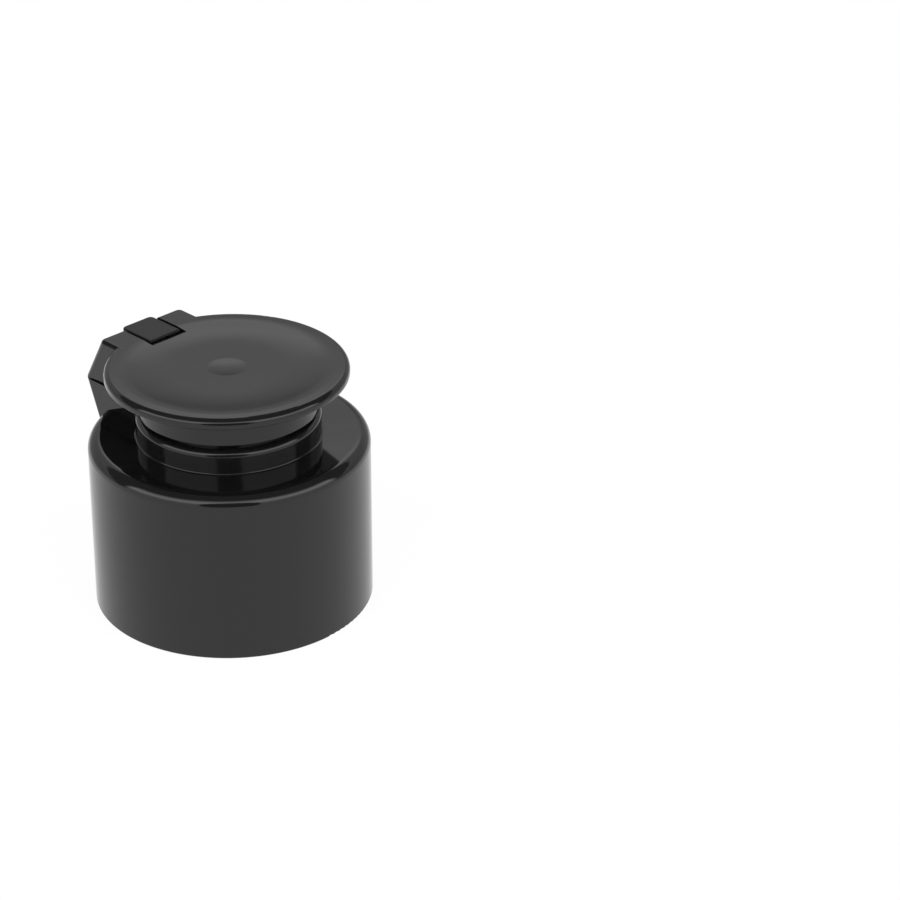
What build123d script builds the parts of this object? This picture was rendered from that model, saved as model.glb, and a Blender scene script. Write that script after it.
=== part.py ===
from build123d import *
import math
import os

# Flip-top closure for a threaded neck, moulded in polypropylene and drawn shut.
# Millimetres. The origin is the centre of the mouth, +Z runs up to the lid, +Y out over the hinge.

# Threaded bore for a 24 mm neck, eight turns to the inch
thread_root_radius = 12.45
thread_depth = 1.0
thread_pitch = 3.175
thread_turns = 2.55
thread_start_height = 7.3
thread_start_angle = 166.0
thread_base_width = 1.7
thread_crest_width = 0.75
thread_run_out_radius = 8.5

# Skirt, shoulder and mouth
skirt_wall = 1.3
skirt_height = 17.5
skirt_foot_radius = 0.2
shoulder_thickness = 1.1
shoulder_edge_radius = 1.2
mouth_recess_depth = 1.0
mouth_wall = 0.65
mouth_tooth_count = 16
mouth_tooth_angle = 14.0
mouth_tooth_lift = 0.15
mouth_tooth_clearance = 0.06
seal_bead_radius = 10.9
seal_bead_height = 0.35
seal_bead_width = 0.8

# Boss on the shoulder, its raised deck and the orifice
boss_radius = 9.05
boss_height = 2.4
boss_edge_radius = 0.6
boss_foot_radius = 0.15
boss_bore_draft = 0.35
boss_wall_at_foot = 1.1
boss_bore_foot_radius = 0.4
deck_ledge_width = 1.05
deck_rise = 0.9
deck_thickness = 1.0
deck_edge_radius = 0.25
orifice_radius = 1.65
orifice_funnel_radius = 3.2
orifice_funnel_depth = 0.5
orifice_pad_radius = 5.15
orifice_pad_thickness = 0.4

# Lid
lid_gap = 0.7
lid_wall_setback = 0.05
lid_deck_clearance = 0.15
lid_height = 4.12
disc_overhang = 2.85
disc_rim_height = 1.05
disc_land_width = 1.75
disc_land_fall = 0.04
disc_land_radius = 7.0
disc_edge_radius = 0.6
disc_foot_radius = 0.2
disc_root_radius = 0.5
dish_depth = 0.26
dish_slope_width = 2.6
dish_radius = 39.0
lid_plate_thickness = 1.0
dimple_radius = 1.9
dimple_depth = 0.08
dimple_edge_radius = 6.0
plug_clearance = 0.1
plug_reach = 0.35
plug_taper_length = 0.5
plug_taper = 0.4
plug_root_radius = 0.5

# Hinge: two pairs of wings that meet on one film line behind the cap
hinge_overhang = 1.7
hinge_drop = 0.05
hinge_width = 10.4
hinge_seam = 0.17
hinge_bead_radius = 0.22
hinge_bead_clearance = 0.08
hinge_setback = 0.05
hinge_land = 0.2
lug_drop = 0.005
lug_edge_radius = 0.4
lid_wing_lean = 2.6
lid_wing_lift = 0.45
base_wing_lean = 1.65
base_wing_drop = 1.95
wing_edge_radius = 0.6
wing_wall = 0.8
wing_core_depth = 1.5
wing_root_depth = 1.0

# Snap strap in the notch between the wings
notch_width = 4.4
notch_inset = 0.14
notch_pocket_depth = 1.6
notch_pad = 0.09
notch_edge_radius = 0.4
strap_side_clearance = 0.28
strap_front_clearance = 0.22
strap_top_thickness = 1.3
strap_leg_thickness = 1.25
strap_film_thickness = 0.3
strap_film_height = 0.75
strap_flare_height = 0.3
strap_stand_out = 0.05
strap_corner_radius = 0.5
strap_edge_radius = 0.15
strap_proud = 0.03
strap_bead_radius = 0.22
strap_bead_clearance = 0.08
strap_seat_lift = 0.1
bevel_angle = 60.0
bevel_setback = 0.75

# Places that follow from the sizes above
skirt_radius = thread_root_radius + skirt_wall
shoulder_underside = skirt_height - shoulder_thickness
mouth_recess_radius = skirt_radius - mouth_wall
boss_top = skirt_height + boss_height
boss_bore_foot = boss_radius - boss_wall_at_foot
boss_bore_top = boss_bore_foot - boss_bore_draft
deck_radius = boss_radius - deck_ledge_width
deck_top = boss_top + deck_rise
deck_underside = deck_top - deck_thickness
orifice_pad_underside = deck_underside - orifice_pad_thickness
lid_bottom = boss_top + lid_gap
lid_top = lid_bottom + lid_height
lid_floor_top = lid_top - dish_depth
lid_ceiling = lid_floor_top - lid_plate_thickness
dish_angle = math.atan2(dish_depth, dish_slope_width)
land_angle = math.atan2(disc_land_fall, disc_land_width)
disc_underside = lid_top - disc_rim_height
lid_wall_radius = boss_radius - lid_wall_setback
disc_radius = lid_wall_radius + disc_overhang
crest_corner_radius = disc_radius - disc_land_width
crest_reach = disc_land_radius * math.tan((dish_angle + land_angle) / 2)
crest_shift = crest_reach * math.cos(land_angle) - disc_land_radius * math.sin(land_angle)
crest_drop = crest_reach * math.sin(land_angle) - disc_land_radius * (1 - math.cos(land_angle))
crest_radius = crest_corner_radius + crest_shift
lug_top = lid_top - crest_drop - lug_drop
lid_bore_radius = deck_radius + lid_deck_clearance
plug_radius = orifice_radius - plug_clearance
hinge_out = skirt_radius + hinge_overhang
hinge_height = boss_top - hinge_drop
wing_back = hinge_out - hinge_setback
wing_root = deck_radius - wing_root_depth
base_seam = hinge_height - hinge_seam / 2
lid_seam = hinge_height + hinge_seam / 2
wing_outer = hinge_width / 2
wing_inner = notch_width / 2
notch_front = lid_wall_radius - notch_inset
notch_pocket_floor = lug_top - notch_pocket_depth
bracket_foot = skirt_height - base_wing_drop
bevel_rise = bevel_setback * math.tan(math.radians(bevel_angle))
strap_axis_out = skirt_radius - bevel_setback / 2 + strap_seat_lift * math.sin(math.radians(bevel_angle))
strap_axis_height = skirt_height - bevel_rise / 2 + strap_seat_lift * math.cos(math.radians(bevel_angle))


def turned(*points):
    """Solid of revolution about Z from (radius, height) corners."""
    return revolve(Plane.XZ * make_face(Polyline(*points, close=True)), axis=Axis.Z)


def slab(low, high, *points):
    """Plate across X from low to high, with its outline in (outward, height) corners."""
    outline = Plane.YZ.offset(low) * make_face(Polyline(*points, close=True))
    return extrude(outline, amount=high - low)


def bar(radius, low, high, out, height):
    """Round bar along X from low to high."""
    circle = Plane.YZ.offset(low) * Pos(out, height) * Circle(radius)
    return extrude(circle, amount=high - low)


def both_sides(piece):
    """The piece and its mirror image across the cap's middle plane."""
    return [piece, mirror(piece, about=Plane.YZ)]


def circles_at(piece, radius, height):
    """Circular edges about Z of one radius at one height."""
    found = []
    for edge in piece.edges().filter_by(GeomType.CIRCLE):
        middle = edge.position_at(0.5)
        if abs(middle.Z - height) < 1e-3 and abs(math.hypot(middle.X, middle.Y) - radius) < 1e-3:
            found.append(edge)
    return found


def rounded_corner(face, radius, height, rounding):
    """The flat outline with its corner at (radius, height) rounded."""
    corner = [
        point for point in face.vertices()
        if abs(point.X - radius) < 1e-6 and abs(point.Y - height) < 1e-6
    ]
    return fillet(corner, rounding)


def leaning_edges(piece, side):
    """Edges of a wing's leaning back face that stand on its outer side plane."""
    found = []
    for edge in piece.edges().filter_by(GeomType.LINE):
        low, high = sorted((edge @ 0, edge @ 1), key=lambda point: point.Z)
        on_side = abs(abs(low.X) - side) < 1e-3 and abs(abs(high.X) - side) < 1e-3
        leans = abs(high.Y - low.Y) > 0.2 and high.Z - low.Z > 1.0
        if on_side and leans:
            found.append(edge)
    return found


# Lower wings: brackets that grow out of the boss and the shoulder, and stand past the skirt
def base_wing():
    wing = slab(
        wing_inner, wing_outer,
        (wing_root, shoulder_underside),
        (wing_root, base_seam),
        (wing_back, base_seam),
        (wing_back, base_seam - hinge_land),
        (hinge_out - base_wing_lean, bracket_foot),
        (thread_root_radius + skirt_wall / 4, bracket_foot),
        (thread_root_radius + skirt_wall / 4, shoulder_underside),
    )
    wing = fillet(leaning_edges(wing, wing_outer), wing_edge_radius)
    bead_end = wing_outer - wing_edge_radius
    return wing + bar(hinge_bead_radius, wing_inner, bead_end, hinge_out, hinge_height)


# Core that the mould leaves in a wing, open at the seam face, with one wall all round
def wing_core(low, high):
    back = wing_back - wing_wall - hinge_land
    return slab(
        wing_inner + wing_wall, wing_outer - wing_wall,
        (boss_radius + wing_wall, low),
        (boss_radius + wing_wall, high),
        (back, high),
        (back, low),
    )


# Everything inside the cap: mouth recess, threaded bore, boss bore and orifice
def inside():
    bore = turned(
        (0, -1),
        (mouth_recess_radius, -1),
        (mouth_recess_radius, mouth_recess_depth),
        (thread_root_radius, mouth_recess_depth),
        (thread_root_radius, shoulder_underside),
        (boss_bore_foot, shoulder_underside),
        (boss_bore_top, deck_underside),
        (orifice_pad_radius, deck_underside),
        (orifice_pad_radius, orifice_pad_underside),
        (orifice_radius, orifice_pad_underside),
        (orifice_radius, deck_top - orifice_funnel_depth),
        (orifice_funnel_radius, deck_top),
        (orifice_funnel_radius, deck_top + 1),
        (0, deck_top + 1),
    )
    lip = circles_at(bore, boss_bore_foot, shoulder_underside)
    return fillet(lip, boss_bore_foot_radius)


# Right-hand single-start thread, its two ends running out into the wall
def neck_thread():
    embedded = skirt_wall / 4
    rise = thread_turns * thread_pitch
    path = Helix(thread_pitch, rise, thread_root_radius, center=(0, 0, thread_start_height))
    section_plane = Plane(origin=path @ 0, x_dir=(1, 0, 0), z_dir=path % 0)
    section = section_plane * make_face(Polyline(
        (embedded, -thread_base_width / 2),
        (0, -thread_base_width / 2),
        (-thread_depth, -thread_crest_width / 2),
        (-thread_depth, thread_crest_width / 2),
        (0, thread_base_width / 2),
        (embedded, thread_base_width / 2),
        close=True,
    ))
    ridge = sweep(section, path=path, is_frenet=True)
    offset = thread_root_radius - thread_run_out_radius + embedded / 4
    for angle, height in ((0, thread_start_height), (360 * thread_turns, thread_start_height + rise)):
        cutter = Cylinder(thread_run_out_radius, thread_pitch)
        ridge -= Rot(0, 0, angle) * Pos(offset, 0, height) * cutter
    return Rot(0, 0, thread_start_angle) * ridge


# Ratchet teeth around the mouth, each a ramp that ends in a radial face
def mouth_teeth():
    root = mouth_recess_radius + mouth_wall / 3
    tip = thread_root_radius + mouth_tooth_clearance
    step = math.radians(mouth_tooth_angle)
    outline = make_face(Polyline(
        (root, 0),
        (mouth_recess_radius, 0),
        (tip * math.cos(step), tip * math.sin(step)),
        (root * math.cos(step), root * math.sin(step)),
        close=True,
    ))
    tooth = Pos(0, 0, mouth_tooth_lift) * extrude(outline, amount=mouth_recess_depth - mouth_tooth_lift)
    return [Rot(0, 0, 360 / mouth_tooth_count * index) * tooth for index in range(mouth_tooth_count)]


# Ring under the shoulder that bites on the end of the neck
def seal_bead():
    return turned(
        (seal_bead_radius - seal_bead_width / 2, shoulder_underside + shoulder_thickness / 4),
        (seal_bead_radius - seal_bead_width / 2, shoulder_underside),
        (seal_bead_radius, shoulder_underside - seal_bead_height),
        (seal_bead_radius + seal_bead_width / 2, shoulder_underside),
        (seal_bead_radius + seal_bead_width / 2, shoulder_underside + shoulder_thickness / 4),
    )


# Bevel on the shoulder's edge between the wings, with the round seat of the strap's film hinge
def strap_seat():
    bevel = slab(
        -wing_inner, wing_inner,
        (skirt_radius - bevel_setback, skirt_height),
        (skirt_radius, skirt_height - bevel_rise),
        (skirt_radius + 1, skirt_height - bevel_rise),
        (skirt_radius + 1, skirt_height + 1),
        (skirt_radius - bevel_setback, skirt_height + 1),
    )
    seat_radius = strap_bead_radius + strap_bead_clearance
    return bevel + bar(seat_radius, -wing_inner, wing_inner, strap_axis_out, strap_axis_height)


def cap_body():
    outside = turned(
        (0, 0),
        (skirt_radius, 0),
        (skirt_radius, skirt_height),
        (boss_radius, skirt_height),
        (boss_radius, boss_top),
        (deck_radius, boss_top),
        (deck_radius, deck_top),
        (0, deck_top),
    )
    outside = fillet(circles_at(outside, skirt_radius, 0), skirt_foot_radius)
    outside = fillet(circles_at(outside, skirt_radius, skirt_height), shoulder_edge_radius)
    outside = fillet(circles_at(outside, boss_radius, skirt_height), boss_foot_radius)
    outside = fillet(circles_at(outside, boss_radius, boss_top), boss_edge_radius)
    outside = fillet(circles_at(outside, deck_radius, deck_top), deck_edge_radius)
    body = outside - strap_seat()
    for wing in both_sides(base_wing()):
        body += wing
    for core in both_sides(wing_core(base_seam - wing_core_depth, base_seam + 1)):
        body -= core
    body -= inside()
    body += neck_thread()
    for tooth in mouth_teeth():
        body += tooth
    return body + seal_bead()


# Upper wings: one lug across the back of the lid, later split by the notch
def lid_lug():
    lug = slab(
        -wing_outer, wing_outer,
        (wing_root, lid_seam + lid_wing_lift),
        (lid_wall_radius, lid_seam + lid_wing_lift),
        (wing_back, lid_seam),
        (wing_back, lid_seam + hinge_land),
        (hinge_out - lid_wing_lean, lug_top),
        (wing_root, lug_top),
    )
    lug = fillet(leaning_edges(lug, wing_outer), wing_edge_radius)
    top = lug.faces().sort_by(Axis.Z)[-1]
    inner = [edge for edge in top.edges() if abs(edge.center().Y - wing_root) < 1e-3]
    lug = fillet([edge for edge in top.edges() if edge not in inner], lug_edge_radius)
    dish = Cylinder(crest_radius, lid_height, align=(Align.CENTER, Align.CENTER, Align.MIN))
    return lug - Pos(0, 0, lid_floor_top - lid_plate_thickness / 2) * dish


# Mushroom head: shallow dish with a dimple, a crest, a land that falls off outwards, and a rounded rim
def lid_disc():
    dimple_bottom = (0, lid_floor_top - dimple_depth)
    section = Polyline(
        dimple_bottom,
        (0, lid_bottom),
        (lid_wall_radius, lid_bottom),
        (lid_wall_radius, disc_underside),
        (disc_radius, disc_underside),
        (disc_radius, lid_top - disc_land_fall),
        (crest_corner_radius, lid_top),
        (crest_corner_radius - dish_slope_width, lid_floor_top),
        (dimple_radius, lid_floor_top),
    )
    section += TangentArc(dimple_bottom, (dimple_radius, lid_floor_top), tangent=(1, 0))
    outline = make_face(section)
    outline = rounded_corner(outline, lid_wall_radius, disc_underside, disc_root_radius)
    outline = rounded_corner(outline, disc_radius, disc_underside, disc_foot_radius)
    outline = rounded_corner(outline, disc_radius, lid_top - disc_land_fall, disc_edge_radius)
    outline = rounded_corner(outline, crest_corner_radius, lid_top, disc_land_radius)
    outline = rounded_corner(outline, crest_corner_radius - dish_slope_width, lid_floor_top, dish_radius)
    outline = rounded_corner(outline, dimple_radius, lid_floor_top, dimple_edge_radius)
    return revolve(Plane.XZ * outline, axis=Axis.Z)


def flip_lid():
    lid = lid_disc() + lid_lug()
    notch = slab(
        -wing_inner, wing_inner,
        (lid_wall_radius + notch_pad, lid_bottom - 1),
        (lid_wall_radius + notch_pad, notch_pocket_floor),
        (notch_front, notch_pocket_floor),
        (notch_front, lid_top + 1),
        (hinge_out + 1, lid_top + 1),
        (hinge_out + 1, lid_bottom - 1),
    )
    lid -= notch
    rolled = [
        edge for edge in lid.edges()
        if abs(edge.center().Y - notch_front) < 1e-3
        and abs(edge.center().X) < 1e-3
        and edge.center().Z > lid_floor_top
    ]
    lid = fillet(rolled, notch_edge_radius)
    for core in both_sides(wing_core(lid_seam - 1, lid_seam + wing_core_depth + lid_wing_lift)):
        lid -= core
    lid -= bar(hinge_bead_radius + hinge_bead_clearance, -hinge_width, hinge_width, hinge_out, hinge_height)
    hollow = Pos(0, 0, lid_bottom - 1) * Cylinder(
        lid_bore_radius, lid_ceiling - lid_bottom + 1, align=(Align.CENTER, Align.CENTER, Align.MIN)
    )
    lid -= hollow
    plug_tip = orifice_pad_underside + plug_reach
    return lid + turned(
        (0, plug_tip),
        (plug_radius - plug_taper, plug_tip),
        (plug_radius, plug_tip + plug_taper_length),
        (plug_radius, lid_ceiling - plug_root_radius),
        (plug_radius + plug_root_radius, lid_ceiling),
        (plug_radius + plug_root_radius, lid_ceiling + lid_plate_thickness / 4),
        (0, lid_ceiling + lid_plate_thickness / 4),
    )


# L-shaped strap: a leg that stands on its film hinge, and a top that fills the notch
def snap_strap():
    half = wing_inner - strap_side_clearance
    top = lug_top + strap_proud
    nose = notch_front + strap_front_clearance
    back = strap_axis_out + strap_stand_out
    film = strap_film_thickness / 2
    flare = strap_axis_height + strap_film_height
    strap = slab(
        -half, half,
        (strap_axis_out + film, strap_axis_height),
        (strap_axis_out + film, flare),
        (back, flare + strap_flare_height),
        (back, top),
        (nose, top),
        (nose, top - strap_top_thickness),
        (back - strap_leg_thickness, top - strap_top_thickness),
        (back - strap_leg_thickness, flare + strap_leg_thickness),
        (strap_axis_out - film, flare),
        (strap_axis_out - film, strap_axis_height),
    )
    corners = [
        edge for edge in strap.edges().filter_by(Axis.Z)
        if abs(edge.center().Y - back) < 1e-3
    ]
    strap = fillet(corners, strap_corner_radius)
    strap = fillet(strap.faces().sort_by(Axis.Z)[-1].edges(), strap_edge_radius)
    return strap + bar(strap_bead_radius, -half, half, strap_axis_out, strap_axis_height)


os.makedirs("parts", exist_ok=True)
export_step(cap_body(), "parts/cap_body.step")
export_step(flip_lid(), "parts/flip_lid.step")
export_step(snap_strap(), "parts/snap_strap.step")
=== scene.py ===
import math
import bpy
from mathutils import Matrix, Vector

# A closed flip-top cap in gloss black polypropylene, standing on its mouth on a white table.
# Metres, in the part's own frame: +Z up from the mouth to the lid, +Y out over the hinge.
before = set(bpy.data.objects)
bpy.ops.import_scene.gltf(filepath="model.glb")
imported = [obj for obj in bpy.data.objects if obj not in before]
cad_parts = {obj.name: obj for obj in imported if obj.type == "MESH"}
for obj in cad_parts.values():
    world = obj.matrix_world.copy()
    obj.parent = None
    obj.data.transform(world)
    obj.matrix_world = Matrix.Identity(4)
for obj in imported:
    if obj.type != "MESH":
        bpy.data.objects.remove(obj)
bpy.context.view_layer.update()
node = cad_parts


# Body
# Skirt, shoulder, boss and lower hinge wings in one injection moulding, polypropylene with carbon
# black. Its cavity was polished, which gives a deep gloss that is nearly black inside, with the
# faint waviness that a moulding keeps from uneven shrinkage.
MM = 0.001
WAVE_LENGTH = 5.5556 * MM
WAVE_HEIGHT = 0.1 * MM


def linear(hex_colour):
    """sRGB hex to the linear RGBA that Blender's sockets take."""
    parts = [int(hex_colour[i:i + 2], 16) / 255 for i in (1, 3, 5)]
    return [p / 12.92 if p <= 0.04045 else ((p + 0.055) / 1.055) ** 2.4 for p in parts] + [1.0]


def add(tree, kind, inputs=None, **settings):
    """Adds a node, sets its properties, and sets each input or links it to the socket given."""
    made = tree.nodes.new(kind)
    for name, value in settings.items():
        setattr(made, name, value)
    for name, value in (inputs or {}).items():
        if isinstance(value, bpy.types.NodeSocket):
            tree.links.new(value, made.inputs[name])
        else:
            made.inputs[name].default_value = value
    return made


def material(name):
    """A material with an empty node tree."""
    made = bpy.data.materials.new(name)
    made.use_nodes = True
    made.node_tree.nodes.clear()
    return made


def dress(obj, look):
    """Gives the object one material."""
    obj.data.materials.clear()
    obj.data.materials.append(look)


body_gloss = material("black polypropylene, polished cavity")
tree = body_gloss.node_tree
where = add(tree, "ShaderNodeTexCoord")
waves = add(tree, "ShaderNodeTexNoise", {
    "Vector": where.outputs["Object"], "Scale": 1 / WAVE_LENGTH, "Detail": 1.0,
})
bump = add(tree, "ShaderNodeBump", {
    "Height": waves.outputs["Fac"], "Strength": 0.25, "Distance": WAVE_HEIGHT,
})
shell = add(tree, "ShaderNodeBsdfPrincipled", {
    "Normal": bump.outputs["Normal"], "Base Color": linear("#161617"), "Roughness": 0.06,
    "IOR": 1.49, "Specular IOR Level": 0.44,
})
add(tree, "ShaderNodeOutputMaterial", {"Surface": shell.outputs["BSDF"]})
dress(node["cap_body"], body_gloss)


# Lid
# The mushroom-shaped lid with its upper hinge wings, of the same polypropylene and from the same
# polished cavity as the body, which it hangs on by a film.
dress(node["flip_lid"], body_gloss)


# Snap strap
# The L-shaped strap between the wings, of the same plastic, moulded against a finely stoned insert,
# so it is a shade duller than the rest. Its real grain is about 0.03 mm, too fine to show in the
# picture, so it is drawn nearly five times as coarse.
GRAIN_WIDTH = 0.142857 * MM
GRAIN_HEIGHT = 0.02 * MM
strap_satin = material("black polypropylene, stoned insert")
tree = strap_satin.node_tree
where = add(tree, "ShaderNodeTexCoord")
grain = add(tree, "ShaderNodeTexNoise", {
    "Vector": where.outputs["Object"], "Scale": 1 / GRAIN_WIDTH, "Detail": 2.0,
})
bump = add(tree, "ShaderNodeBump", {
    "Height": grain.outputs["Fac"], "Strength": 0.12, "Distance": GRAIN_HEIGHT,
})
shell = add(tree, "ShaderNodeBsdfPrincipled", {
    "Normal": bump.outputs["Normal"], "Base Color": linear("#121213"), "Roughness": 0.32,
    "IOR": 1.49, "Specular IOR Level": 0.25,
})
add(tree, "ShaderNodeOutputMaterial", {"Surface": shell.outputs["BSDF"]})
dress(node["snap_strap"], strap_satin)


# Floor
# A round table top in matt white, bright enough to be seen as plain white, with a faint contact
# shadow round the foot of the cap.
TABLE_RADIUS = 150 * MM
bpy.ops.mesh.primitive_circle_add(vertices=256, radius=TABLE_RADIUS, fill_type="NGON")
floor = bpy.context.object
floor.name = "floor"
table_white = material("white table")
tree = table_white.node_tree
glow = add(tree, "ShaderNodeEmission", {"Color": linear("#ffffff"), "Strength": 0.94})
paint = add(tree, "ShaderNodeBsdfDiffuse", {"Color": linear("#5e5e5e")})
both = add(tree, "ShaderNodeAddShader", {0: glow.outputs["Emission"], 1: paint.outputs["BSDF"]})
add(tree, "ShaderNodeOutputMaterial", {"Surface": both.outputs["Shader"]})
dress(floor, table_white)
table_white.cycles.emission_sampling = "NONE"


# Light tent
# Diffuser cloth all round the cap, hidden from the camera. The half towards the front is lit from
# behind up to about 50 degrees and has a round opening for the lens, the other half is a dimmer
# backdrop, and the top is left dark.
TENT_RADIUS = 1000 * MM
FRONT_AZIMUTH = math.radians(-45.0)
front = Vector((math.sin(FRONT_AZIMUTH), -math.cos(FRONT_AZIMUTH), 0))
right = Vector((math.cos(FRONT_AZIMUTH), math.sin(FRONT_AZIMUTH), 0))
above = Vector((0, 0, 1))

bpy.ops.mesh.primitive_uv_sphere_add(segments=96, ring_count=48, radius=TENT_RADIUS)
tent = bpy.context.object
tent.name = "light tent"
tent.visible_camera = False
cloth = material("lit diffuser cloth")
tree = cloth.node_tree
place = add(tree, "ShaderNodeTexCoord").outputs["Object"]


def levels(tree, value, stops):
    """Brightness along a value, from rising (value, brightness) stops."""
    low = stops[0][0]
    high = stops[-1][0]
    brightest = max(level for _, level in stops)
    share = add(tree, "ShaderNodeMapRange", {"Value": value, "From Min": low, "From Max": high})
    ramp = add(tree, "ShaderNodeValToRGB", {"Fac": share.outputs["Result"]})
    elements = ramp.color_ramp.elements
    while len(elements) < len(stops):
        elements.new(1.0)
    for element, (at, level) in zip(elements, stops):
        element.position = (at - low) / (high - low)
        element.color = (level / brightest,) * 3 + (1,)
    scaled = add(tree, "ShaderNodeMath", {0: ramp.outputs["Color"], 1: brightest}, operation="MULTIPLY")
    return scaled.outputs["Value"]


# How far each spot on the cloth lies to one side, to the back, up, past the seam between the halves,
# and towards the lens, each from about -1 to 1.
SEAM_TURN = 0.075
LENS_SIDE = 0.056
LENS_RISE = 0.18
seam = front + right * SEAM_TURN
lens = (front + right * LENS_SIDE + above * LENS_RISE).normalized()
side, behind, height, past_seam, near_lens = (
    add(tree, "ShaderNodeVectorMath", {0: place, 1: way}, operation="DOT_PRODUCT").outputs["Value"]
    for way in (right, -front, above, seam, lens)
)
sideways = add(tree, "ShaderNodeMath", {0: side, 1: side}, operation="MULTIPLY").outputs["Value"]

# The backdrop by degrees, from straight down over the horizon at the back and past the top. Its
# middle is patchier than its sides, and the one runs smoothly into the other.
angle = add(tree, "ShaderNodeMath", {0: height, 1: behind}, operation="ARCTAN2").outputs["Value"]
climb = add(tree, "ShaderNodeMath", {0: angle}, operation="DEGREES").outputs["Value"]
backdrop_middle = levels(tree, climb, (
    (-90, 0.90), (-30, 0.80), (-8, 0.60), (8, 0.52), (16, 0.31), (20, 0.36), (24, 0.55), (28, 0.74),
    (33, 1.25), (42, 1.45), (46, 1.35), (48, 0.18), (110, 0.20),
))
backdrop_side = levels(tree, climb, (
    (-90, 0.90), (-30, 0.80), (-8, 0.60), (8, 0.48), (30, 0.54), (45, 0.70), (48, 0.16), (110, 0.18),
))
MIDDLE_END = 0.02
SIDE_START = 0.12
backdrop = add(tree, "ShaderNodeMapRange", {
    "Value": sideways, "From Min": MIDDLE_END, "From Max": SIDE_START,
    "To Min": backdrop_middle, "To Max": backdrop_side,
}, interpolation_type="SMOOTHSTEP").outputs["Result"]

# The lit half by height. Its bands come lower towards the sides.
SIDE_DROP = 0.4
drop = add(tree, "ShaderNodeMath", {0: sideways, 1: SIDE_DROP, 2: 1.0}, operation="MULTIPLY_ADD")
rise = add(tree, "ShaderNodeMath", {0: height, 1: drop.outputs["Value"]}, operation="MULTIPLY")
lit_cloth = levels(tree, rise.outputs["Value"], (
    (-0.60, 0.90), (-0.45, 0.90), (0.00, 1.00), (0.30, 1.30), (0.42, 2.60), (0.50, 3.10), (0.60, 2.70),
    (0.68, 2.00), (0.74, 1.30), (0.80, 0.20), (0.90, 0.18),
))
SEAM_START = -0.02
SEAM_END = 0.09
tent_light = add(tree, "ShaderNodeMapRange", {
    "Value": past_seam, "From Min": SEAM_START, "From Max": SEAM_END,
    "To Min": backdrop, "To Max": lit_cloth,
}, interpolation_type="SMOOTHSTEP").outputs["Result"]

# The opening for the lens, with a soft edge.
OPENING_OUTSIDE = math.radians(25.0)
OPENING_INSIDE = math.radians(22.0)
OPENING_LIGHT = 0.07
opening = add(tree, "ShaderNodeMapRange", {
    "Value": near_lens, "From Min": math.cos(OPENING_OUTSIDE), "From Max": math.cos(OPENING_INSIDE),
    "To Min": 1.0, "To Max": OPENING_LIGHT,
}, interpolation_type="SMOOTHSTEP").outputs["Result"]
strength = add(tree, "ShaderNodeMath", {0: tent_light, 1: opening}, operation="MULTIPLY")

glow = add(tree, "ShaderNodeEmission", {"Color": linear("#ffffff"), "Strength": strength.outputs["Value"]})
add(tree, "ShaderNodeOutputMaterial", {"Surface": glow.outputs["Emission"]})
dress(tent, cloth)
cloth.cycles.emission_sampling = "NONE"


# World
# A plain white room, which the camera sees beyond the edge of the table.
world = bpy.data.worlds.new("white room")
bpy.context.scene.world = world
world.cycles.sampling_method = "NONE"
world.use_nodes = True
tree = world.node_tree
tree.nodes.clear()
sky = add(tree, "ShaderNodeBackground", {"Color": linear("#ffffff"), "Strength": 1.0})
add(tree, "ShaderNodeOutputWorld", {"Surface": sky.outputs["Background"]})


# Camera
# A long lens from the front left, about 28 degrees above the table. It is aimed past the cap, at a
# point SHIFT_RIGHT and SHIFT_UP millimetres from the middle of the mouth as the picture shows it.
SHIFT_RIGHT = 21.437
SHIFT_UP = 13.641
DISTANCE = 319.0
EYE_HEIGHT = math.radians(27.77)
camera_data = bpy.data.cameras.new("camera")
camera_data.lens = 128.0
camera_data.sensor_width = 36.0
camera_data.clip_start = 0.01
camera_data.clip_end = 10.0
camera = bpy.data.objects.new("camera", camera_data)
bpy.context.scene.collection.objects.link(camera)
back = front * math.cos(EYE_HEIGHT) + above * math.sin(EYE_HEIGHT)
up = back.cross(right)
camera.location = (right * SHIFT_RIGHT + up * SHIFT_UP + back * DISTANCE) * MM
camera.rotation_mode = "QUATERNION"
camera.rotation_quaternion = back.to_track_quat("Z", "Y")
bpy.context.scene.camera = camera
bpy.context.scene.view_settings.view_transform = "Standard"
